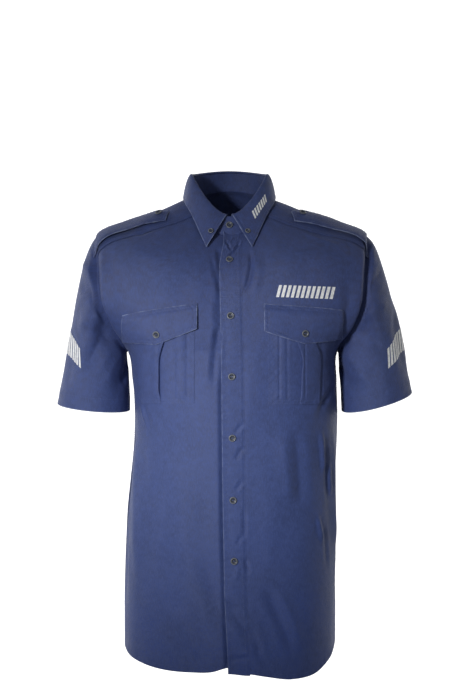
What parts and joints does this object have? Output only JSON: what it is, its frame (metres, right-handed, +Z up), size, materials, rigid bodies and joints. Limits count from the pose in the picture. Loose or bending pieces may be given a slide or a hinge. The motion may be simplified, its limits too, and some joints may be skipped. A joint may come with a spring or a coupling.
{
  "type": "police uniform shirt, short-sleeved, as worn",
  "caption": "Short-sleeved uniform shirt in its hollow worn form, with a button-down collar, shoulder straps and flapped, pleated chest pockets. Held up by the wearer.",
  "frame": {"origin": "middle of the neck at shoulder height, where the wearer's neck and shoulders hold the shirt up", "axes": "+Z up, -Y out of the front, +X towards the wearer's left"},
  "size_m": [0.5882, 0.2687, 0.8447],
  "materials": {
    "navy_cloth": "fine cotton-blend twill, matt with a faint sheen",
    "thread": "sewing thread, navy, worn paler at the edges",
    "reflective_strip": "silver-grey retro-reflective transfer, plain",
    "button": "dark grey-navy, slightly glossy rim"
  },
  "bodies": {
    "root": {"front_left": "navy_cloth", "front_right": "navy_cloth", "placket": "navy_cloth", "back": "navy_cloth", "yoke": "navy_cloth", "sleeve_left": "navy_cloth", "sleeve_right": "navy_cloth", "collar_stand": "navy_cloth", "collar_leaf": "navy_cloth", "pocket_left": "navy_cloth", "pocket_right": "navy_cloth", "flap_left": "navy_cloth", "flap_right": "navy_cloth", "epaulette_left": "navy_cloth", "epaulette_right": "navy_cloth", "button_stand": "button", "button_front_1": "button", "button_front_2": "button", "button_front_3": "button", "button_front_4": "button", "button_front_5": "button", "button_front_6": "button", "button_collar_left": "button", "button_collar_right": "button", "button_flap_left": "button", "button_flap_right": "button", "button_epaulette_left": "button", "button_epaulette_right": "button"}
  },
  "joints": []
}
